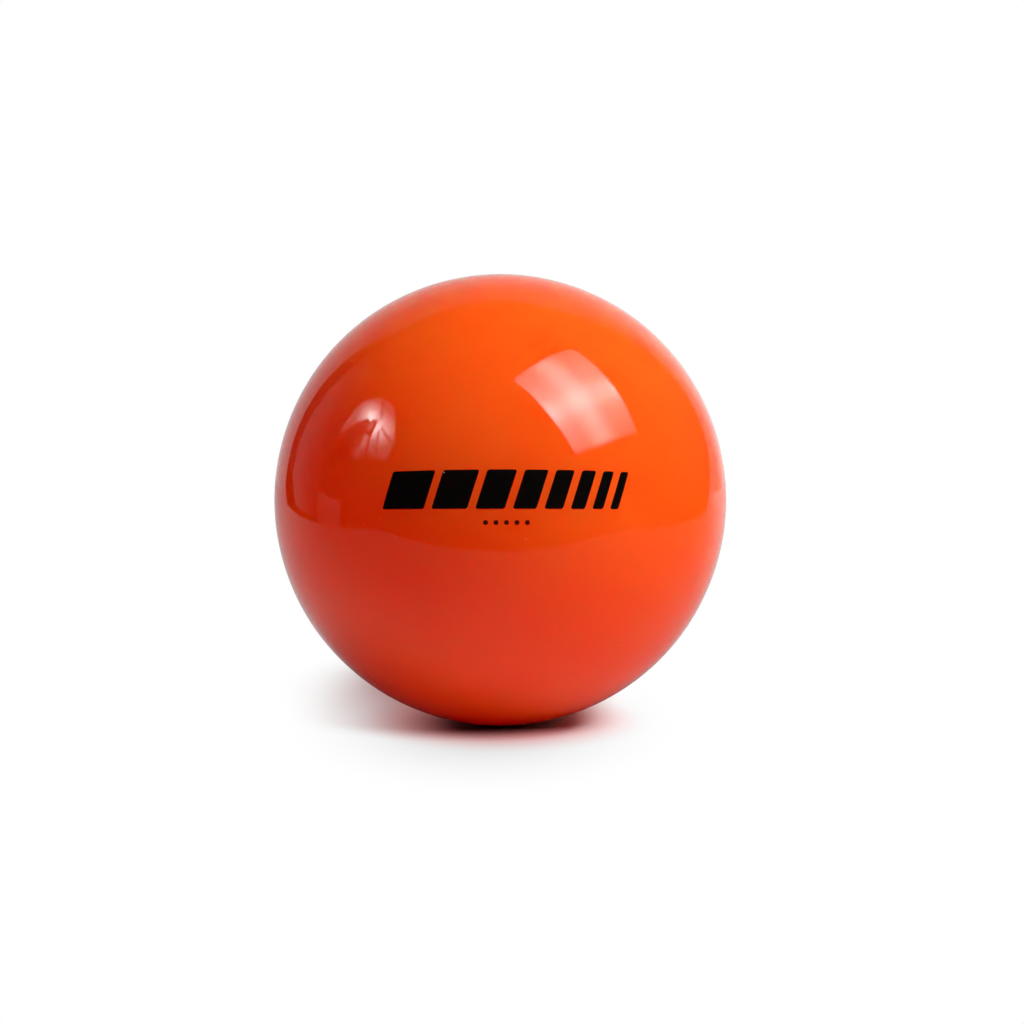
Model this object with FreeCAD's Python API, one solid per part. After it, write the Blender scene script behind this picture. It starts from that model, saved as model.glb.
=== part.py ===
"""Smooth field hockey ball, moulded and polished as one solid piece. Millimetres.

Frame: the origin is the ball's centre, +Z points up, and -Y is the side that carries the print.
"""

import FreeCAD, Part
from FreeCAD import Vector
from math import pi
import os

# The rules of the game size the ball by its circumference, 224 to 235 mm, so that is what drives it.
ball_circumference = 229.5

ball_radius = ball_circumference / (2 * pi)

CENTRE = Vector(0, 0, 0)
POLE_AXIS = Vector(0, 0, 1)
FULL_TURN = 360
CUBIC_MM_IN_A_CUBIC_CM = 1000


def half_disc_profile(radius):
    """Half of the ball's section: a half circle on the +X side, closed along the pole axis."""
    top = CENTRE + Vector(0, 0, radius)
    side = CENTRE + Vector(radius, 0, 0)
    bottom = CENTRE - Vector(0, 0, radius)
    skin = Part.Arc(top, side, bottom).toShape()
    axis = Part.LineSegment(bottom, top).toShape()
    return Part.Face(Part.Wire([skin, axis]))


def moulded_ball(radius):
    """The finished ball: the half section turned once round the pole axis.

    It is solid right through, with a plain polished skin that has no dimples and no raised seam.
    """
    return half_disc_profile(radius).revolve(CENTRE, POLE_AXIS, FULL_TURN)


def export(shape, node):
    """Checks that a piece is one sound solid and writes it to its own STEP file."""
    assert shape.isValid() and len(shape.Solids) == 1, node
    shape.exportStep(os.path.join("parts", node + ".step"))
    size = shape.BoundBox
    volume = shape.Volume / CUBIC_MM_IN_A_CUBIC_CM
    print(f"{node}: {size.XLength:.2f} x {size.YLength:.2f} x {size.ZLength:.2f} mm, {volume:.2f} cm3")


os.makedirs("parts", exist_ok=True)
export(moulded_ball(ball_radius), "ball")
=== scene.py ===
# %% [markdown]
# A smooth field hockey ball is one solid piece of hard plastic. It is moulded, then polished until it
# mirrors the room, and one black print is stamped on its front. The form is so plain that the picture
# lives on other things: a true curve, a finish with the right depth, and a studio worth mirroring.
#
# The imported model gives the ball's real size and place. Everything here is built round it, in metres.

from math import asin, ceil, cos, pi, radians, sin, tan

import bmesh
import bpy
from mathutils import Matrix, Vector, noise


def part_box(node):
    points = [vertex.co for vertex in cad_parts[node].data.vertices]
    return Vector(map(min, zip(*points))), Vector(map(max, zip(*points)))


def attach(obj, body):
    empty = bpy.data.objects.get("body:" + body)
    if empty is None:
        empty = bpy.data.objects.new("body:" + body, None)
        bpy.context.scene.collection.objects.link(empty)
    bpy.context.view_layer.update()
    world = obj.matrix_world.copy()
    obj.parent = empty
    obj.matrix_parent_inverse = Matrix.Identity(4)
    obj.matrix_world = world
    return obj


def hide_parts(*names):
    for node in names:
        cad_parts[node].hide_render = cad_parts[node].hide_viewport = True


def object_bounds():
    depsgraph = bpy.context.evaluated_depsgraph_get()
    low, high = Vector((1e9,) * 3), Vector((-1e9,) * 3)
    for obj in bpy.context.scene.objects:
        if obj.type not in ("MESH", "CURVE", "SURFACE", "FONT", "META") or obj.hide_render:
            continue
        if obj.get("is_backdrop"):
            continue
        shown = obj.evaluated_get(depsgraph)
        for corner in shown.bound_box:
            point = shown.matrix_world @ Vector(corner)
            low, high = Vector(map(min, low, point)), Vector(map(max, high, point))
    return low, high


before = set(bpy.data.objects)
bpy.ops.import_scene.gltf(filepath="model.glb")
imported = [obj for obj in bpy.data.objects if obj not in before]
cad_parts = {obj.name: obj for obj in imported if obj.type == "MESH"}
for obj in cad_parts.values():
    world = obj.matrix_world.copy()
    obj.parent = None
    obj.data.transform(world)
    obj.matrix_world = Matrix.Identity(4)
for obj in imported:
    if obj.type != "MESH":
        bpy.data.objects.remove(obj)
cad_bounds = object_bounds()

MM = 0.001

lowest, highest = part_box("ball")
CENTRE = (lowest + highest) / 2
RADIUS = (highest.z - lowest.z) / 2
FLOOR_HEIGHT = lowest.z
print(f"The ball is {2 * RADIUS / MM:.2f} mm across and its lowest point is at {FLOOR_HEIGHT / MM:.2f} mm")

# %% [markdown]
# The photographer used a long lens from a little above the table, so the ball shows almost no
# perspective. The picture tells how wide the ball is in the frame and how far it sits from the middle.
# A lens is worked out from those two facts, and the camera is moved sideways, not turned, to place the
# ball off the middle.

# %% The camera
PICTURE_WIDTH = 1024
BALL_WIDTH_IN_PICTURE = 451.8
BALL_LEFT_OF_MIDDLE = 11.7
BALL_ABOVE_MIDDLE = 12.1
CAMERA_DISTANCE = 600 * MM
CAMERA_ELEVATION = radians(9)

toward_camera = Vector((0, -cos(CAMERA_ELEVATION), sin(CAMERA_ELEVATION)))
picture_right = Vector((1, 0, 0))
picture_up = toward_camera.cross(picture_right)


def stand(thing, place, target, up):
    """Puts a camera or lamp at a place, looking at the target, with its top side towards up."""
    back = (place - target).normalized()
    side = up.cross(back).normalized()
    turn = Matrix((side, back.cross(side), back)).transposed()
    thing.matrix_world = Matrix.LocRotScale(place, turn, None)


def add_to_scene(name, data):
    """Makes an object of the data and links it to the scene."""
    made = bpy.data.objects.new(name, data)
    bpy.context.scene.collection.objects.link(made)
    return made


half_view = tan(asin(RADIUS / CAMERA_DISTANCE)) * PICTURE_WIDTH / BALL_WIDTH_IN_PICTURE
metres_per_pixel = 2 * CAMERA_DISTANCE * half_view / PICTURE_WIDTH
middle = CENTRE + metres_per_pixel * (BALL_LEFT_OF_MIDDLE * picture_right - BALL_ABOVE_MIDDLE * picture_up)

camera_data = bpy.data.cameras.new("camera")
camera_data.sensor_width = 36
camera_data.lens = camera_data.sensor_width / 2 / half_view
camera = add_to_scene("camera", camera_data)
stand(camera, middle + CAMERA_DISTANCE * toward_camera, middle, picture_up)
bpy.context.scene.camera = camera
print(f"The camera has a {camera_data.lens:.0f} mm lens, {CAMERA_DISTANCE:.2f} m away")

# %% [markdown]
# Shaders are built from nodes, and wiring them by hand hides the thought behind them. This small class
# wraps one output socket, so that a mask can be written as arithmetic: `1 - mask` adds its own Math
# node. Colours don't go through it, because a Math node would turn them grey.

# %% Shader maths in plain Python
class Wire:
    """One output socket of a node. Arithmetic on it adds Math nodes."""

    def __init__(self, shader, socket):
        self.shader = shader
        self.socket = socket

    def math(self, operation, first, second=0.0):
        return self.shader.node("ShaderNodeMath", {"operation": operation}, {0: first, 1: second})

    def __add__(self, other):
        return self.math("ADD", self, other)

    def __radd__(self, other):
        return self.math("ADD", other, self)

    def __sub__(self, other):
        return self.math("SUBTRACT", self, other)

    def __rsub__(self, other):
        return self.math("SUBTRACT", other, self)

    def __mul__(self, other):
        return self.math("MULTIPLY", self, other)

    def __rmul__(self, other):
        return self.math("MULTIPLY", other, self)

    def __pow__(self, other):
        return self.math("POWER", self, other)

    def __neg__(self):
        return self.math("MULTIPLY", self, -1.0)

    def __abs__(self):
        return self.math("ABSOLUTE", self)

    def most(self, other):
        return self.math("MAXIMUM", self, other)

    def rise(self, start, end):
        """0 before start and 1 after end, with a soft turn at both."""
        return self.shader.node("ShaderNodeMapRange", {"interpolation_type": "SMOOTHSTEP"},
                                {"Value": self, "From Min": start, "From Max": end})


class Shader:
    """The nodes of one material, lamp or world."""

    def __init__(self, owner):
        owner.use_nodes = True
        self.tree = owner.node_tree
        self.tree.nodes.clear()

    def node(self, kind, settings=None, sockets=None, output=0):
        """Adds a node: first its settings, then a value or a wire for each socket named."""
        made = self.tree.nodes.new(kind)
        for name, value in (settings or {}).items():
            setattr(made, name, value)
        for name, value in (sockets or {}).items():
            if isinstance(value, Wire):
                self.tree.links.new(value.socket, made.inputs[name])
            else:
                made.inputs[name].default_value = value
        return Wire(self, made.outputs[output]) if made.outputs else None

    def axes(self, wire):
        """The x, y and z of a vector, each as a wire."""
        parts = self.node("ShaderNodeSeparateXYZ", None, {0: wire}).socket.node.outputs
        return [Wire(self, part) for part in parts]

    def blend(self, share, first, second):
        """A colour between two, by a share from 0 to 1."""
        sockets = {0: share, 6: first, 7: second}
        return self.node("ShaderNodeMix", {"data_type": "RGBA"}, sockets, output=2)

    def glow(self, level, tone=(1.0, 1.0, 1.0, 1.0)):
        """Plain light of one level, white unless a tone is named."""
        return self.node("ShaderNodeEmission", None, {"Color": tone, "Strength": level})

    def between(self, share, first, second):
        """A surface between two, by a share from 0 to 1."""
        return self.node("ShaderNodeMixShader", None, {0: share, 1: first, 2: second})


def colour(red, green, blue):
    """A colour with the fourth number that sockets want."""
    return (red, green, blue, 1.0)


print("Shader maths is ready")

# %% [markdown]
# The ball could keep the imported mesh, which is round enough for fit and motion. A mirror finish is
# less forgiving, because it shows each facet as a kink in a reflected edge. So the skin is built as a
# cube blown up into a ball: its cells are nearly square everywhere, and it has no pinched poles.
#
# No moulded ball is a perfect mirror. The skin lies in very low waves, one or two hundredths of a
# millimetre high, which nobody would feel but which make the edges of a reflected lamp tremble. They are
# real shape here, so every view shows the same ones.

# %% The polished skin
CELLS_PER_SIDE = 96
WIDE_WAVES = 3.4
WIDE_WAVE_HEIGHT = 0.020 * MM
FINE_WAVES = 13.0
FINE_WAVE_HEIGHT = 0.004 * MM
FINE_WAVE_SHIFT = Vector((4.1, 7.3, 2.6))


def skin_height(direction):
    """How far the skin lies off a true sphere in that direction."""
    wide = noise.noise(direction * WIDE_WAVES)
    fine = noise.noise(direction * FINE_WAVES + FINE_WAVE_SHIFT)
    return wide * WIDE_WAVE_HEIGHT + fine * FINE_WAVE_HEIGHT


def skin_point(direction, lift=0.0):
    """The point of the skin in that direction, or a point that lies lift above it."""
    return CENTRE + direction * (RADIUS + skin_height(direction) + lift)


def blown_cube(cells):
    """A cube's sides in square cells, each corner moved to the skin."""
    shape = bmesh.new()
    bmesh.ops.create_cube(shape, size=2)
    bmesh.ops.subdivide_edges(shape, edges=shape.edges[:], cuts=cells - 1, use_grid_fill=True)
    for corner in shape.verts:
        even = Vector(tan(part * pi / 4) for part in corner.co)
        corner.co = skin_point(even.normalized())
    return shape


def piece_from(shape, name, sharp=pi):
    """Turns a bmesh into a smooth-shaded piece that rides on the ball's body."""
    mesh = bpy.data.meshes.new(name)
    shape.to_mesh(mesh)
    shape.free()
    mesh.shade_smooth()
    if sharp < pi:
        mesh.set_sharp_from_angle(angle=sharp)
    piece = add_to_scene(name, mesh)
    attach(piece, "root")
    return piece


skin = piece_from(blown_cube(CELLS_PER_SIDE), "ball_skin")
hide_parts("ball")
print(f"The skin has {len(skin.data.polygons)} cells")

# %% [markdown]
# Hard, dyed plastic isn't a painted surface. Light enters it, wanders and comes out further on, and
# red light wanders much further than green or blue. That is why the side away from the lamp glows a
# deep red instead of going dark: no single colour could do that, so subsurface scattering does it.
#
# The polish is a clear mirror over that glow. Its roughness is close to nothing, and drifts a little
# where hands and cloths have been. The dye isn't stirred perfectly either, so its tone drifts too.

# %% The finish of the plastic
DYE = colour(0.985, 0.096, 0.0064)
DYE_THICK = colour(0.980, 0.086, 0.0052)
GLOW_REACH = 70 * MM
GLOW_SHARES = (1.0, 0.021, 0.014)
POLISH = 0.028
WORN_POLISH = 0.05
PLASTIC_IOR = 1.5
SWIRLS_PER_METRE = 55
SWIRL_DISTORTION = 0.8
WORN_PATCHES_PER_METRE = 130


def plastic(name, dye, thick_dye):
    """Dyed, translucent, polished plastic."""
    material = bpy.data.materials.new(name)
    shader = Shader(material)
    place = shader.node("ShaderNodeTexCoord", output=3)
    swirl = shader.node("ShaderNodeTexNoise", None, {
        "Vector": place, "Scale": SWIRLS_PER_METRE, "Detail": 3, "Distortion": SWIRL_DISTORTION})
    handling = shader.node("ShaderNodeTexNoise", None, {
        "Vector": place, "Scale": WORN_PATCHES_PER_METRE, "Detail": 4})
    polish = POLISH + (WORN_POLISH - POLISH) * handling.rise(0.45, 0.75)
    surface = shader.node("ShaderNodeBsdfPrincipled", {"subsurface_method": "RANDOM_WALK"}, {
        "Base Color": shader.blend(swirl.rise(0.35, 0.7), dye, thick_dye),
        "Roughness": polish,
        "IOR": PLASTIC_IOR,
        "Subsurface Weight": 1.0,
        "Subsurface Radius": GLOW_SHARES,
        "Subsurface Scale": GLOW_REACH,
    })
    shader.node("ShaderNodeOutputMaterial", None, {"Surface": surface})
    return material


orange_plastic = plastic("orange_plastic", DYE, DYE_THICK)
skin.data.materials.append(orange_plastic)
print("The skin has its finish")

# %% [markdown]
# The front of the ball carries one black print. Its design here is a plain one: a row of leaning bars
# that get narrower, and five small dots under it. It could be a mask in the plastic's colour, but
# a print is a film of ink with a crisp edge, so each mark is a thin skin of its own that hugs the
# ball and holds its edge at any distance.
#
# A soft pad stamps such a print, and bends round the ball as it does. So a mark is drawn flat first,
# and each of its points is then laid along the ball, as far from the middle as it was on the drawing.

# %% Laying a flat drawing on the ball
PRINT_AZIMUTH = radians(1.7)
PRINT_ELEVATION = radians(11.4)
INK_THICKNESS = 0.018 * MM
INK_DEPTH = 0.03 * MM
INK_CELL = 0.45 * MM
SAME_POINT = 0.001 * MM
CORNER_STEPS = 7

print_middle = Vector((sin(PRINT_AZIMUTH) * cos(PRINT_ELEVATION),
                       -cos(PRINT_AZIMUTH) * cos(PRINT_ELEVATION), sin(PRINT_ELEVATION)))
print_up = (picture_up - picture_up.project(print_middle)).normalized()
print_right = print_up.cross(print_middle)


def laid_on_ball(across, up, lift):
    """The place on the ball of a point of the flat drawing."""
    flat = across * print_right + up * print_up
    if flat.length == 0:
        return skin_point(print_middle, lift)
    turn = flat.length / RADIUS
    return skin_point(print_middle * cos(turn) + flat.normalized() * sin(turn), lift)


def rows_of(height, corner):
    """How high each row of cells lies in a mark: close together at the round corners."""
    turns = [pi / 2 * step / CORNER_STEPS for step in range(CORNER_STEPS + 1)]
    bottom = [corner * (1 - cos(turn)) for turn in turns]
    straight = height - 2 * corner
    count = ceil(straight / INK_CELL)
    between = [corner + straight * step / count for step in range(1, count)]
    return bottom + between + [height - low for low in reversed(bottom)]


def ink_mark(shape, left, bottom, width, height, corner, lean=0.0):
    """Adds a closed film of ink to a bmesh: a leaning bar with round corners, or a dot."""
    columns = ceil(width / INK_CELL) + 1
    layers = []
    for lift in (INK_THICKNESS, -INK_DEPTH):
        layer = []
        for level in rows_of(height, corner):
            into_corner = max(0.0, corner - min(level, height - level))
            inset = corner - (max(0.0, corner ** 2 - into_corner ** 2)) ** 0.5
            row = []
            for column in range(columns + 1):
                across = left + inset + (width - 2 * inset) * column / columns
                across += (level - height / 2) * tan(lean)
                row.append(shape.verts.new(laid_on_ball(across, bottom + level, lift)))
            layer.append(row)
        layers.append(layer)
    top, under = layers
    last = len(top) - 1
    for row in range(last):
        for column in range(columns):
            upper, lower = ([layer[row][column], layer[row][column + 1],
                             layer[row + 1][column + 1], layer[row + 1][column]] for layer in layers)
            shape.faces.new(upper)
            shape.faces.new(reversed(lower))
        for column in (0, columns):
            side = [top[row][column], top[row + 1][column], under[row + 1][column], under[row][column]]
            shape.faces.new(side if column == 0 else reversed(side))
    for row in (0, last):
        for column in range(columns):
            end = [top[row][column], top[row][column + 1], under[row][column + 1], under[row][column]]
            shape.faces.new(reversed(end) if row == 0 else end)


print(f"The print's middle points at {[round(part, 3) for part in print_middle]}")

# %% The row of bars
BAR_WIDTHS = [7.0 * MM, 5.6 * MM, 4.5 * MM, 3.6 * MM, 2.9 * MM, 2.3 * MM, 1.8 * MM, 1.4 * MM]
BAR_GAP = 1.25 * MM
BAR_HEIGHT = 6.0 * MM
BAR_CORNER = 0.35 * MM
BAR_LEAN = radians(18)
INK_EDGE = radians(35)

row_width = sum(BAR_WIDTHS) + BAR_GAP * (len(BAR_WIDTHS) - 1)
bars = bmesh.new()
edge = -row_width / 2
for width in BAR_WIDTHS:
    ink_mark(bars, edge, -BAR_HEIGHT / 2, width, BAR_HEIGHT, BAR_CORNER, BAR_LEAN)
    edge += width + BAR_GAP
bmesh.ops.remove_doubles(bars, verts=bars.verts[:], dist=SAME_POINT)
bar_print = piece_from(bars, "printed_bars", INK_EDGE)
print(f"{len(BAR_WIDTHS)} bars make a row {row_width / MM:.1f} mm wide")

# %% The five dots
DOT_COUNT = 5
DOT_WIDTH = 0.75 * MM
DOT_SPACING = 1.6 * MM
DOTS_BELOW_MIDDLE = 5.1 * MM

dots = bmesh.new()
for number in range(DOT_COUNT):
    dot_middle = (number - (DOT_COUNT - 1) / 2) * DOT_SPACING
    ink_mark(dots, dot_middle - DOT_WIDTH / 2, -DOTS_BELOW_MIDDLE - DOT_WIDTH / 2,
             DOT_WIDTH, DOT_WIDTH, DOT_WIDTH / 2)
bmesh.ops.remove_doubles(dots, verts=dots.verts[:], dist=SAME_POINT)
dot_print = piece_from(dots, "printed_dots", INK_EDGE)
print(f"{DOT_COUNT} dots lie {DOTS_BELOW_MIDDLE / MM:.1f} mm below the print's middle")

# %% [markdown]
# The ink dries as smooth as the plastic round it, so a reflection runs on across it. It differs in
# how little light it gives back. The bars are stamped thick, while the dots are so small that the
# orange warms them. Both vary a little in density, as stamped ink does.

# %% The ink
BLACK_INK = colour(0.0030, 0.0022, 0.0020)
THIN_BLACK_INK = colour(0.0075, 0.0028, 0.0020)
DOT_INK = colour(0.050, 0.004, 0.002)
THIN_DOT_INK = colour(0.085, 0.007, 0.002)
INK_MOTTLES_PER_METRE = 420
INK_DULLING = 0.03


def ink(name, dense, thin):
    """A dried film of ink with the gloss of the plastic under it."""
    material = bpy.data.materials.new(name)
    shader = Shader(material)
    place = shader.node("ShaderNodeTexCoord", output=3)
    density = shader.node("ShaderNodeTexNoise", None, {
        "Vector": place, "Scale": INK_MOTTLES_PER_METRE, "Detail": 5})
    surface = shader.node("ShaderNodeBsdfPrincipled", None, {
        "Base Color": shader.blend(density.rise(0.5, 0.8), dense, thin),
        "Roughness": POLISH + INK_DULLING * density,
        "IOR": PLASTIC_IOR,
    })
    shader.node("ShaderNodeOutputMaterial", None, {"Surface": surface})
    return material


bar_print.data.materials.append(ink("black_ink", BLACK_INK, THIN_BLACK_INK))
dot_print.data.materials.append(ink("dot_ink", DOT_INK, THIN_DOT_INK))
print("The print has its ink")

# %% [markdown]
# A few grains of dust always settle on a ball before its polish sets. Each leaves a nib three or four
# tenths of a millimetre wide, and so low that it shows only as a glint. The ones on the front are where
# the picture shows them, and the rest of the ball gets a few more in a fixed order. They are low domes,
# sunk a little into the skin and joined in one piece.
#
# Light can't wander from such a small closed shell into the ball, so with the plastic's own finish they
# would come out dark. They are clear instead, with a gloss of their own. Their see-through colour is
# more than 1, most in green and blue, so they pass on more light than they get: a painted glint that
# makes the skin show brighter and paler through them.

# %% Nibs in the polish
BOLD_NIBS = [(354, 362), (444, 473)]
FAINT_NIBS = [(380, 518), (364, 524), (395, 538), (425, 541), (526, 539), (622, 646), (414, 650)]
BOLD_NIB_RADIUS = 0.22 * MM
FAINT_NIB_RADIUS = 0.15 * MM
NIB_STEEPNESS = 0.33
NIB_SUNK_SHARE = 0.4
# The nibs' see-through colour is a painted glint: it passes on more light than falls on them.
NIB_PAINTED_GLINT = colour(1.25, 1.7, 2.6)
NIB_SEGMENTS = 10
NIB_RINGS = 3
EXTRA_NIBS = 26
SEEN_IN_PICTURE = 0.2
GOLDEN_TURN = pi * (3 - 5 ** 0.5)


def direction_at(pixel):
    """The direction from the ball's middle to the point of the skin that a pixel shows."""
    right, up = pixel[0] - PICTURE_WIDTH / 2, PICTURE_WIDTH / 2 - pixel[1]
    eye = middle + CAMERA_DISTANCE * toward_camera
    ray = (middle + metres_per_pixel * (right * picture_right + up * picture_up) - eye).normalized()
    nearest = eye + (CENTRE - eye).dot(ray) * ray
    into_ball = (RADIUS ** 2 - (nearest - CENTRE).length_squared) ** 0.5
    return (nearest - into_ball * ray - CENTRE).normalized()


def dome(shape, direction, radius):
    """Adds a low closed dome to a bmesh, standing on the skin."""
    height = NIB_STEEPNESS * radius
    side = direction.orthogonal().normalized()
    across = direction.cross(side)
    rings = []
    for ring in range(NIB_RINGS + 1):
        share = ring / NIB_RINGS
        reach = radius * cos(share * pi / 2)
        lift = height * (sin(share * pi / 2) * (1 + NIB_SUNK_SHARE) - NIB_SUNK_SHARE)
        points = []
        for step in range(NIB_SEGMENTS if ring < NIB_RINGS else 1):
            turn = 2 * pi * step / NIB_SEGMENTS
            aside = reach * (cos(turn) * side + sin(turn) * across)
            points.append(shape.verts.new(skin_point((direction * RADIUS + aside).normalized(), lift)))
        rings.append(points)
    for lower, upper in zip(rings, rings[1:]):
        for step in range(NIB_SEGMENTS):
            after = (step + 1) % NIB_SEGMENTS
            if len(upper) > 1:
                shape.faces.new([lower[step], lower[after], upper[after], upper[step]])
            else:
                shape.faces.new([lower[step], lower[after], upper[0]])
    shape.faces.new(reversed(rings[0]))


def clear_film_with_painted_glint(name):
    """A clear film with a painted glint: what lies under it shows brighter, and its own surface mirrors a
    little.
    """
    material = bpy.data.materials.new(name)
    shader = Shader(material)
    gloss = shader.node("ShaderNodeFresnel", None, {"IOR": PLASTIC_IOR})
    # Painted glint: a see-through colour above 1 brightens what lies under the nib.
    clear = shader.node("ShaderNodeBsdfTransparent", None, {"Color": NIB_PAINTED_GLINT})
    mirror = shader.node("ShaderNodeBsdfGlossy", None, {
        "Color": colour(1.0, 1.0, 1.0), "Roughness": POLISH})
    shader.node("ShaderNodeOutputMaterial", None, {"Surface": shader.between(gloss, clear, mirror)})
    return material


nibs = bmesh.new()
for pixels, radius in ((BOLD_NIBS, BOLD_NIB_RADIUS), (FAINT_NIBS, FAINT_NIB_RADIUS)):
    for pixel in pixels:
        dome(nibs, direction_at(pixel), radius)
for number in range(EXTRA_NIBS):
    height = 1 - 2 * (number + 0.5) / EXTRA_NIBS
    turn = number * GOLDEN_TURN
    reach = (1 - height ** 2) ** 0.5
    there = Vector((reach * cos(turn), reach * sin(turn), height))
    if there.dot(toward_camera) < SEEN_IN_PICTURE:
        dome(nibs, there, FAINT_NIB_RADIUS)
skin_nibs = piece_from(nibs, "skin_nibs")
skin_nibs.data.materials.append(clear_film_with_painted_glint("nib_polish_painted_glint"))
print(f"The nibs have {len(skin_nibs.data.polygons)} faces")

# %% [markdown]
# The ball stands on a table covered with pale paper. The camera has to see it white, and the ball has
# to throw its shadow on it, but in the ball's mirror the paper is a light grey that ends at its cut
# edges. Away from the ball that grey is painted light, dimmer in front and brighter behind and toward
# the lamp on the right. One floor can be all of that: Light Path tells which kind of ray has met it.
#
# Near the ball the camera sees lit paper, with its shadow. Further off that fades into plain white, so
# that no edge shows in any view. The white is painted pink right beside the ball, for the colour that
# the ball throws on the paper, and then a faint painted grey shade thins out round it.
#
# The light that the paper throws up at the ball comes from the paper alone: past its edges the floor is
# black for that purpose. The paper gives back more red than green or blue here. That red is painted
# light, which stands in for the ball's own glow that its underside sees in the paper.

# %% The paper floor
PAPER_LEFT = -245 * MM
PAPER_RIGHT = 250 * MM
PAPER_FRONT = -156 * MM
PAPER_BACK = 300 * MM
FLOOR_SIZE = 3.0
PAPER_TO_CAMERA = colour(0.96, 0.96, 0.96)
# The paper's red toward the ball is painted light, for the ball's own glow in it.
PAPER_TO_BALL_WITH_PAINTED_GLOW = colour(0.83, 0.43, 0.43)
PAPER_IN_MIRROR = 0.22
SHADOW_LEFT, LEFT_SLANT, LEFT_FADE = -7 * MM, 0.22, 28 * MM
SHADOW_RIGHT, RIGHT_FADE = 10.5 * MM, 13 * MM
SHADOW_FRONT, FRONT_SLANT, FRONT_FADE = -6 * MM, 0.12, 11 * MM
SHADOW_BEHIND, BEHIND_FADE = 45 * MM, 40 * MM
SHADOW_CORNER, CORNER_SLANT, CORNER_FADE = 84 * MM, 2.9, 66 * MM
SHADOW_BOW = 12
# A painted shade: a faint grey pool round the ball, darkest close to it.
PAINTED_SHADE = 0.56
PAINTED_SHADE_HALF_WIDTH = 34 * MM
PAINTED_SHADE_HALF_DEPTH = 56 * MM
PAINTED_SHADE_LEFT = 3 * MM
# Painted light: the white glows pink close to the ball, for the colour that it throws there.
PAINTED_BALL_GLOW_ON_WHITE = colour(1.0, 0.3, 0.3)
BALL_GLOW_NEAR = 7 * MM
BALL_GLOW_FAR = 25 * MM
MIRROR_SHADOW_NEAR = 20 * MM
MIRROR_SHADOW_FAR = 60 * MM
# The far paper in the mirror is a painted glow, dimmer in front and brighter behind and to the right.
PAPER_FRONT_GLOW = 0.19
PAPER_BACK_GLOW = 0.62
PAPER_DIM_LINE = -120 * MM
PAPER_BRIGHT_LINE = 60 * MM
PAPER_GLOW_BOW = 0.70
PAPER_GLOW_TILT = 0.2
BRIGHTER_TO_RIGHT = 1.4
PAPER_EDGE = 12 * MM
WIDER_LEFT_FROM, WIDER_LEFT_SLANT = 210 * MM, 0.65
WIDER_RIGHT_FROM, WIDER_RIGHT_SLANT = 145 * MM, 0.9


def sheet_of(name, corners):
    """A flat piece of the stage with the corners named, kept out of the object's tables."""
    mesh = bpy.data.meshes.new(name)
    mesh.from_pydata([tuple(corner) for corner in corners], [], [tuple(range(len(corners)))])
    made = add_to_scene(name, mesh)
    made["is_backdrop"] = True
    return made


def grey(level):
    return colour(level, level, level)


def matt(shader, tone):
    """Plain matt paper."""
    return shader.node("ShaderNodeBsdfDiffuse", None, {"Color": tone})


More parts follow.
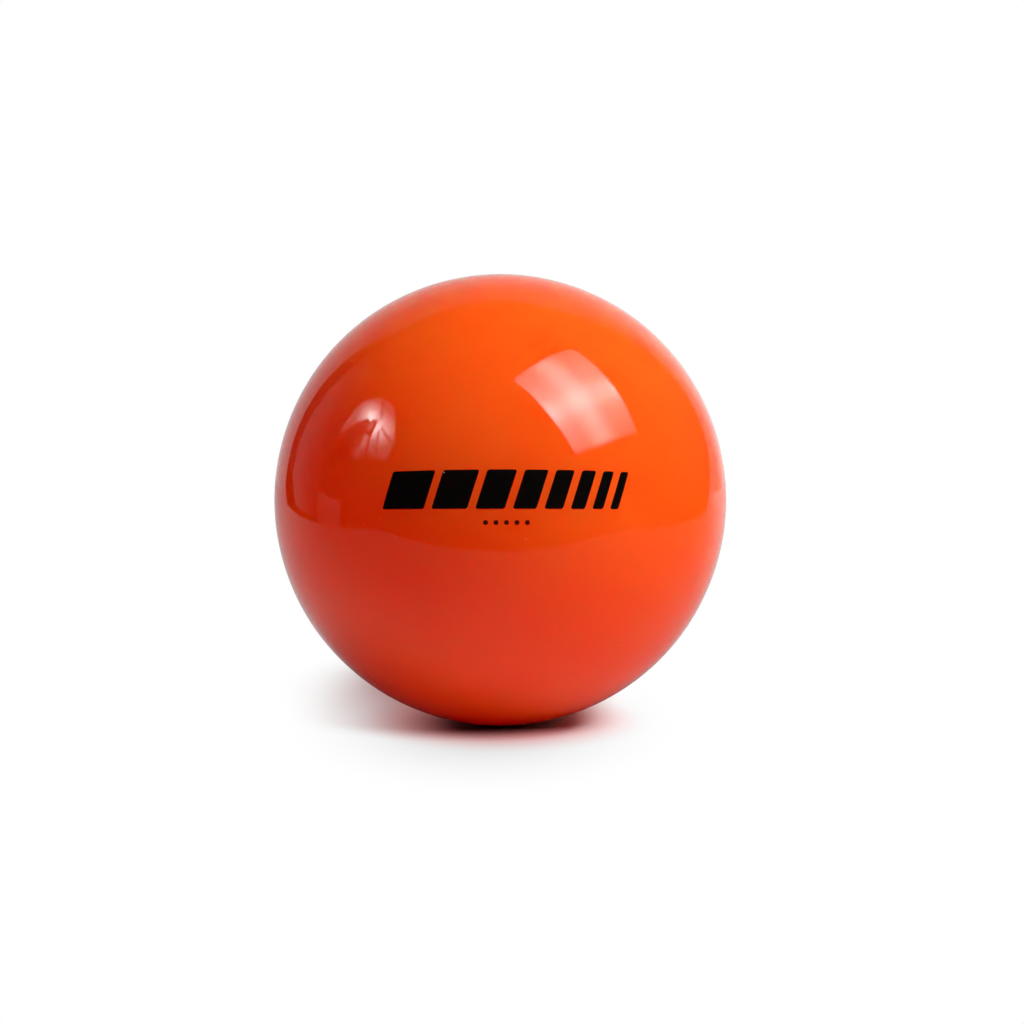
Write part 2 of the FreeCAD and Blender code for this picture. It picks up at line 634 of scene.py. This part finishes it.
def paper_floor_material():
    """White round a lit middle for the camera, glowing paper in the mirror, paper for the rest: parts of
    each are painted light.
    """
    material = bpy.data.materials.new("paper_floor")
    shader = Shader(material)
    rays = shader.node("ShaderNodeLightPath").socket.node.outputs
    camera_ray = Wire(shader, rays["Is Camera Ray"])
    glossy_ray = Wire(shader, rays["Is Glossy Ray"])
    place = shader.node("ShaderNodeTexCoord", output=3)
    x, y, z = shader.axes(place)
    distance = (x * x + y * y) ** 0.5

    past_left = (SHADOW_LEFT - x - LEFT_SLANT * y).rise(0, LEFT_FADE)
    past_right = (x - SHADOW_RIGHT).rise(0, RIGHT_FADE)
    past_front = (SHADOW_FRONT + FRONT_SLANT * x + SHADOW_BOW * x * x - y).rise(0, FRONT_FADE)
    past_back = (y - SHADOW_BEHIND).rise(0, BEHIND_FADE)
    past_corner = (y - CORNER_SLANT * x - SHADOW_CORNER).rise(0, CORNER_FADE)
    shadow_kept = 1 - past_left
    for past in (past_right, past_front, past_back, past_corner):
        shadow_kept = shadow_kept * (1 - past)
    # Painted shade: a grey pool darkens the white round the ball.
    across, along = (x + PAINTED_SHADE_LEFT) * (1 / PAINTED_SHADE_HALF_WIDTH), y * (1 / PAINTED_SHADE_HALF_DEPTH)
    painted_shade = PAINTED_SHADE * (1 - (across * across + along * along) ** 0.5).most(0) ** 2
    # Painted light: the white turns pink beside the ball, for the colour that it throws there.
    painted_ball_glow = shader.glow(1.0, PAINTED_BALL_GLOW_ON_WHITE)
    white = shader.between(distance.rise(BALL_GLOW_NEAR, BALL_GLOW_FAR), painted_ball_glow, shader.glow(1.0))
    white = shader.between(painted_shade, white, shader.glow(0.0))
    seen = shader.between(shadow_kept, white, matt(shader, PAPER_TO_CAMERA))

    # Painted light: the far paper in the mirror glows dimmer in front and brighter behind and to the
    # right.
    bowed = y - PAPER_GLOW_BOW * abs(x) - PAPER_GLOW_TILT * x
    toward_back = bowed.rise(PAPER_DIM_LINE, PAPER_BRIGHT_LINE)
    level = PAPER_FRONT_GLOW + (PAPER_BACK_GLOW - PAPER_FRONT_GLOW) * toward_back
    level = level * (1 + BRIGHTER_TO_RIGHT * x * toward_back)
    wider_left = WIDER_LEFT_SLANT * (y - WIDER_LEFT_FROM).most(0)
    wider_right = WIDER_RIGHT_SLANT * (y - WIDER_RIGHT_FROM).most(0)
    on_paper = ((x + wider_left).rise(PAPER_LEFT, PAPER_LEFT + PAPER_EDGE)
                * (PAPER_RIGHT + wider_right - x).rise(0, PAPER_EDGE)
                * y.rise(PAPER_FRONT, PAPER_FRONT + PAPER_EDGE))
    far_paper_painted_glow = shader.between(level * on_paper, shader.glow(0.0), shader.glow(1.0))
    mirrored = shader.between(distance.rise(MIRROR_SHADOW_NEAR, MIRROR_SHADOW_FAR),
                              matt(shader, grey(PAPER_IN_MIRROR)), far_paper_painted_glow)

    # Painted light: the paper's red for the ball stands in for the ball's own glow on it.
    paper_with_painted_glow = matt(shader, shader.blend(on_paper, grey(0), PAPER_TO_BALL_WITH_PAINTED_GLOW))
    unseen = shader.between(glossy_ray, paper_with_painted_glow, mirrored)
    surface = shader.between(camera_ray, unseen, seen)
    shader.node("ShaderNodeOutputMaterial", None, {"Surface": surface})
    return material


half = FLOOR_SIZE / 2
paper_floor = sheet_of("paper_floor", [(-half, -half, FLOOR_HEIGHT), (half, -half, FLOOR_HEIGHT),
                                       (half, half, FLOOR_HEIGHT), (-half, half, FLOOR_HEIGHT)])
paper_floor.data.materials.append(paper_floor_material())
print("The floor is laid")

# %% [markdown]
# The rest of the set is only seen in the ball: paper rising behind it, two grey cards on the left, and
# the dark room. The camera looks straight through these, so that they never stand in the way of
# another view. Each is a plain glowing panel, because what matters is how bright it is in the mirror.
# Their glow is painted light: each is brighter where lamps or lit paper would light it more, and the
# risen paper's glow lights the ball too. Its corners are where the edges in the ball point, traced
# back through the mirror.

# %% Panels that only the mirror sees
def glow_material(name, brightest, share_of):
    """A material that glows. share_of turns the place on a panel into a share of the brightest."""
    material = bpy.data.materials.new(name)
    shader = Shader(material)
    place = shader.node("ShaderNodeTexCoord", output=3)
    share = share_of(*shader.axes(place))
    surface = shader.between(share, shader.glow(0.0), shader.glow(brightest))
    shader.node("ShaderNodeOutputMaterial", None, {"Surface": surface})
    return material


def mirror_only(made, material, lights_ball=False):
    """Gives a panel its material and keeps it out of the picture, except in the ball's polish."""
    made.data.materials.append(material)
    made.visible_camera = False
    made.visible_diffuse = lights_ball
    made.visible_shadow = False
    if not lights_ball:
        material.cycles.emission_sampling = "NONE"


def toward(azimuth, elevation, distance):
    """A point of the set: azimuth 0 is behind the ball and grows to the right, in degrees."""
    turn, rise = radians(azimuth), radians(elevation)
    return distance * Vector((sin(turn) * cos(rise), cos(turn) * cos(rise), sin(rise)))


PAPER_TOP = 430 * MM
PAPER_LOW_GLOW = 0.74
PAPER_HIGH_GLOW = 0.21
PAPER_TOP_FADE = 30 * MM
PAPER_DIMMEST_AT = 330 * MM
FAR_RIGHT_START, FAR_RIGHT_END, FAR_RIGHT_LOSS = 120 * MM, 260 * MM, 0.65
RISEN_OUTLINE = [(-285 * MM, FLOOR_HEIGHT), (390 * MM, FLOOR_HEIGHT), (300 * MM, 12 * MM),
                 (258 * MM, 75 * MM), (232 * MM, 270 * MM), (196 * MM, 350 * MM), (130 * MM, PAPER_TOP),
                 (-270 * MM, PAPER_TOP), (-263 * MM, 120 * MM), (-268 * MM, 40 * MM)]


def risen_paper(x, y, z):
    """Brightest where it leaves the table and on the lamp's side, dimmer with height and far right."""
    level = PAPER_LOW_GLOW - (PAPER_LOW_GLOW - PAPER_HIGH_GLOW) * z.rise(0, PAPER_DIMMEST_AT)
    under_top = (PAPER_TOP - z).rise(0, PAPER_TOP_FADE)
    kept_on_right = 1 - FAR_RIGHT_LOSS * x.rise(FAR_RIGHT_START, FAR_RIGHT_END)
    return level * (1 + BRIGHTER_TO_RIGHT * x) * under_top * kept_on_right


paper_back = sheet_of("paper_back", [(x, PAPER_BACK, z) for x, z in RISEN_OUTLINE])
# The risen paper's glow is painted light, brighter low down and on the lamp's side, and it lights the
# ball.
mirror_only(paper_back, glow_material("paper_back", 1.0, risen_paper), lights_ball=True)
print("The paper rises behind the ball")

# %% The grey card and the low card
CARD_LEFT = -300 * MM
CARD_OUTLINE = [(63 * MM, FLOOR_HEIGHT), (175 * MM, FLOOR_HEIGHT), (236 * MM, 0.0), (247 * MM, 45 * MM),
                (238 * MM, 130 * MM), (230 * MM, 290 * MM), (30 * MM, 290 * MM), (39 * MM, 103 * MM),
                (56 * MM, 23 * MM)]
CARD_GLOW = 0.21
LOW_CARD_OUTLINE = [(-36 * MM, FLOOR_HEIGHT), (38 * MM, FLOOR_HEIGHT), (37 * MM, 7 * MM),
                    (-35 * MM, 4 * MM)]
LOW_CARD_GLOW = 0.22


def card_glow(x, y, z):
    """Brighter toward the risen paper, which lights it, and dimmer near its top."""
    return (0.25 + 0.75 * y.rise(60 * MM, 190 * MM)) * (1 - 0.65 * z.rise(100 * MM, 270 * MM))


def low_card_glow(x, y, z):
    """Brightest along its top edge and toward the camera."""
    return (0.6 + 0.4 * z.rise(-14 * MM, -2 * MM)) * (1 - 0.35 * y.rise(-30 * MM, 40 * MM))


grey_card = sheet_of("grey_card", [(CARD_LEFT, y, z) for y, z in CARD_OUTLINE])
mirror_only(grey_card, glow_material("grey_card", CARD_GLOW, card_glow))
low_card = sheet_of("low_card", [(PAPER_LEFT, y, z) for y, z in LOW_CARD_OUTLINE])
mirror_only(low_card, glow_material("low_card", LOW_CARD_GLOW, low_card_glow))
print("The cards stand on the left")

# %% [markdown]
# A dark cloth hangs all round the set, as photographers hang black flags round anything shiny. It is
# a plain box. It keeps the ball's mirror dark where no lamp or paper stands, while the world outside
# it is white for the camera and for every mirrored or refracted ray.

# %% The dark cloth and the white world
CLOTH_DISTANCE = 2.4
CLOTH_GLOW = 0.03


def cloth_glow(x, y, z):
    """Nearly black, and a little lighter low down behind, where the lit paper shines on it."""
    return 0.15 + 0.85 * y.rise(0.1, 1.2) * (1 - z.rise(0.6, 2.4))


cloth_shape = bmesh.new()
bmesh.ops.create_cube(cloth_shape, size=2 * CLOTH_DISTANCE)
cloth_mesh = bpy.data.meshes.new("dark_cloth")
cloth_shape.to_mesh(cloth_mesh)
cloth_shape.free()
dark_cloth = add_to_scene("dark_cloth", cloth_mesh)
dark_cloth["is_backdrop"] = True
mirror_only(dark_cloth, glow_material("dark_cloth", CLOTH_GLOW, cloth_glow))

world = bpy.data.worlds.new("white_world")
bpy.context.scene.world = world
sky = Shader(world)
sky_rays = sky.node("ShaderNodeLightPath").socket.node.outputs
shows_white = (Wire(sky, sky_rays["Is Camera Ray"])
               .most(Wire(sky, sky_rays["Is Glossy Ray"]))
               .most(Wire(sky, sky_rays["Is Transmission Ray"])))
black_sky = sky.node("ShaderNodeBackground", None, {"Color": grey(0), "Strength": 1.0})
white_sky = sky.node("ShaderNodeBackground", None, {"Color": grey(1), "Strength": 1.0})
sky.node("ShaderNodeOutputWorld", None, {"Surface": sky.between(shows_white, black_sky, white_sky)})
print("The world is white")

# %% [markdown]
# Two lamps light the ball. The large softbox high on the right gives the form its shading and leaves
# a bright slanted panel in the polish. The round one on the left is weaker: a flash that shines into
# an umbrella, with its ribs and its stand showing.
#
# Real lamps aren't evenly bright, and the polish shows it. So each lamp is made twice in one place.
# An even area lamp throws the light, which keeps the shading smooth and quick to render, and a panel
# shows the lamp's face, which only the mirror sees. The even lamp is smaller than the softbox, because
# most of a softbox's light leaves its middle.
#
# The lamps aren't quite white. Red gathers in a ball that hardly soaks it up, so the softbox is a little
# short of red. The umbrella is warm, because on its side of the ball red is nearly all that is left.

# %% The softbox
SOFTBOX_PLACE = Vector((400, -164, 537)) * MM
SOFTBOX_TARGET = Vector((42, 150, 24)) * MM
SOFTBOX_TOP = Vector((-0.624, 0.394, 0.675))
SOFTBOX_WIDTH = 518 * MM
SOFTBOX_HEIGHT = 570 * MM
SOFTBOX_POWER = 8.5
SOFTBOX_TONE = (0.85, 1.0, 1.0)
SOFTBOX_BRIGHTEST = 14.0
SOFTBOX_EVEN_SHARE = 0.7
BARS_CROSS = (-0.15, -0.05)


def area_lamp(name, shape, width, height, power, tone=(1.0, 1.0, 1.0)):
    """An even lamp that throws light, but that neither the camera nor the mirror sees."""
    lamp = bpy.data.lights.new(name, "AREA")
    lamp.shape = shape
    lamp.size = width
    lamp.size_y = height
    lamp.energy = power
    lamp.color = tone
    made = add_to_scene(name, lamp)
    made.visible_camera = False
    made.visible_glossy = False
    return made


def lamp_face(name, width, height, brightest, share_of):
    """A flat panel with its middle at its own origin, for the mirror."""
    across, up = width / 2, height / 2
    face = sheet_of(name, [(-across, -up, 0), (across, -up, 0), (across, up, 0), (-across, up, 0)])
    mirror_only(face, glow_material(name, brightest, share_of))
    return face


def softbox_glow(x, y, z):
    """The cloth is brightest along two bars that cross over the flash, and dim at its hems."""
    u, v = x * (2 / SOFTBOX_WIDTH), y * (2 / SOFTBOX_HEIGHT)
    level = (5.0 - 1.2 * u) * (1 - 0.55 * abs(v).rise(0.1, 0.95))
    up_bar = 1 - abs(u - BARS_CROSS[0]).rise(0, 0.5)
    cross_bar = 1 - abs(v - BARS_CROSS[1]).rise(0, 0.35)
    level = level + 3.4 * up_bar + 3.2 * cross_bar * (1 + 0.8 * abs(u).rise(0.7, 0.9))
    side_hems = (1 - u.rise(0.86, 1.04)) * (1 - (-u).rise(0.95, 1.02))
    end_hems = (1 - v.rise(0.90, 1.07)) * (1 - (-v).rise(0.86, 1.04))
    return level * side_hems * end_hems * (1 / SOFTBOX_BRIGHTEST)


softbox = area_lamp("softbox", "RECTANGLE", SOFTBOX_EVEN_SHARE * SOFTBOX_WIDTH,
                    SOFTBOX_EVEN_SHARE * SOFTBOX_HEIGHT, SOFTBOX_POWER, SOFTBOX_TONE)
stand(softbox, SOFTBOX_PLACE, SOFTBOX_TARGET, SOFTBOX_TOP)
softbox_face = lamp_face("softbox_face", SOFTBOX_WIDTH, SOFTBOX_HEIGHT, SOFTBOX_BRIGHTEST, softbox_glow)
stand(softbox_face, SOFTBOX_PLACE, SOFTBOX_TARGET, SOFTBOX_TOP)
print("The softbox is lit")

# %% The umbrella
UMBRELLA_PLACE = Vector((-1006, -217, 672)) * MM
UMBRELLA_WIDTH = 620 * MM
UMBRELLA_FACE_WIDTH = 1000 * MM
UMBRELLA_POWER = 3.7
UMBRELLA_TONE = (1.0, 0.5, 0.5)
UMBRELLA_BRIGHTEST = 17.0
CANOPY_CORNERS = [(318, -60), (100, 172), (-30, 208), (-195, 192), (-470, 55), (-498, -90), (-480, -470),
                  (318, -260)]
RIBS = [((1, 30), 137), ((45, -12), -17), ((35, -35), -62)]
RIB_HALF_WIDTH = 19
STAND_START, STAND_TURN, STAND_HALF_WIDTH = (-60, 26), -76, 21
LEFT_PATCH = [(10.5, (-150, 12), (250, 145)), (5, (-145, 15), (110, 75))]
RIGHT_PATCH = [(9, (45, -25), (260, 165)), (7, (2, -35), (42, 150))]
OVER_FLASH = [(4, (-30, 40), (70, 50))]
LOW_CLOTH = [(0.6, (-20, -190), (170, 130))]
BELOW_SHADOW = [(0.7, (-95, -295), (140, 115))]
LEFT_LOBE = (-172, -30), (32, 24)
WHOLE_CLOTH = (-110, -90), (415, 280)
LAMP_AZIMUTH, LAMP_ELEVATION = -80, 35
UP = Vector((0, 0, 1))


def canopy(x, y):
    """1 inside the umbrella's many-sided outline and 0 outside, with a narrow soft edge."""
    inside = 1.0
    for start, end in zip(CANOPY_CORNERS, CANOPY_CORNERS[1:] + CANOPY_CORNERS[:1]):
        side = Vector(end) - Vector(start)
        right, up = side.normalized()
        depth = (y - start[1] * MM) * right - (x - start[0] * MM) * up
        inside = depth.rise(0, 22 * MM) * inside
    return inside


def from_middle_of(x, y, middle, reach):
    """How far a place lies from the middle of an oval, where 1 is its edge. Sizes in millimetres."""
    across = (x - middle[0] * MM) * (1 / (reach[0] * MM))
    up = (y - middle[1] * MM) * (1 / (reach[1] * MM))
    return (across * across + up * up) ** 0.5


def light_of(x, y, spots):
    """The light of some ovals: each is brightest in its middle and falls to 0 at its edge."""
    lights = [brightest * (1 - from_middle_of(x, y, middle, reach)).most(0.0) ** 1.5
              for brightest, middle, reach in spots]
    total = lights[0]
    for light in lights[1:]:
        total = total + light
    return total


def strip(x, y, start, degrees, half_width):
    """1 along a thin strip that runs from a start in one direction, with soft sides."""
    turn = radians(degrees)
    right, up = x - start[0] * MM, y - start[1] * MM
    along = right * cos(turn) + up * sin(turn)
    aside = abs(up * cos(turn) - right * sin(turn))
    return along.rise(0, 12 * MM) * (1 - aside.rise(0.4 * half_width * MM, half_width * MM))


def umbrella_glow(x, y, z):
    """Two bright patches beside the flash, its own shadow on the cloth, the ribs, and the stand."""
    patches = light_of(x, y, LEFT_PATCH).most(light_of(x, y, RIGHT_PATCH))
    bare_cloth = 1.5 * (1 - 0.5 * from_middle_of(x, y, *WHOLE_CLOTH)).most(0.1)
    level = patches + light_of(x, y, OVER_FLASH) + bare_cloth + light_of(x, y, LOW_CLOTH)

    beyond = (-x - 195 * MM).most(0)
    under_edge = ((-y - 20 * MM - 0.65 * beyond) * (14 * MM + 0.25 * beyond) ** -1).rise(-1, 1)
    left_of_body = (-x - 22 * MM).rise(-9 * MM, 9 * MM) * (y + 128 * MM).rise(-10 * MM, 10 * MM)
    left_of_stand = (-x - 105 * MM).rise(-16 * MM, 16 * MM)
    level = level * (1 - 0.92 * under_edge * left_of_body.most(left_of_stand))

    for start, degrees in RIBS:
        level = level * (1 - 0.65 * strip(x, y, start, degrees, RIB_HALF_WIDTH))
    flash_across = 1 - abs(x + 66 * MM).rise(34 * MM, 46 * MM)
    flash = flash_across * (1 - abs(y + 34 * MM).rise(40 * MM, 56 * MM))
    level = level * (1 - flash) + 1.6 * flash
    left_lobe = 1 - from_middle_of(x, y, *LEFT_LOBE).rise(0.6, 1)
    lamp_stand = strip(x, y, STAND_START, STAND_TURN, STAND_HALF_WIDTH)
    level = level * (1 - 0.85 * left_lobe) * (1 - 0.93 * lamp_stand)
    level = level * (y + 310 * MM).rise(0, 110 * MM) + light_of(x, y, BELOW_SHADOW)
    return level * canopy(x, y) * (1 / UMBRELLA_BRIGHTEST)


umbrella = area_lamp("umbrella", "DISK", UMBRELLA_WIDTH, UMBRELLA_WIDTH, UMBRELLA_POWER, UMBRELLA_TONE)
stand(umbrella, toward(LAMP_AZIMUTH, LAMP_ELEVATION, UMBRELLA_PLACE.length), CENTRE, UP)
umbrella_face = lamp_face("umbrella_face", UMBRELLA_FACE_WIDTH, UMBRELLA_FACE_WIDTH, UMBRELLA_BRIGHTEST,
                          umbrella_glow)
stand(umbrella_face, UMBRELLA_PLACE, CENTRE, UP)
print("The umbrella is lit")

# %% The picture's settings and the sizes
bpy.context.scene.view_settings.view_transform = "Standard"

visual_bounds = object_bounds()
grown = max(abs(a - b) for c, d in zip(cad_bounds, visual_bounds) for a, b in zip(c, d))
print(f"The dressed ball differs from the packed one by {grown / MM:.3f} mm at most")
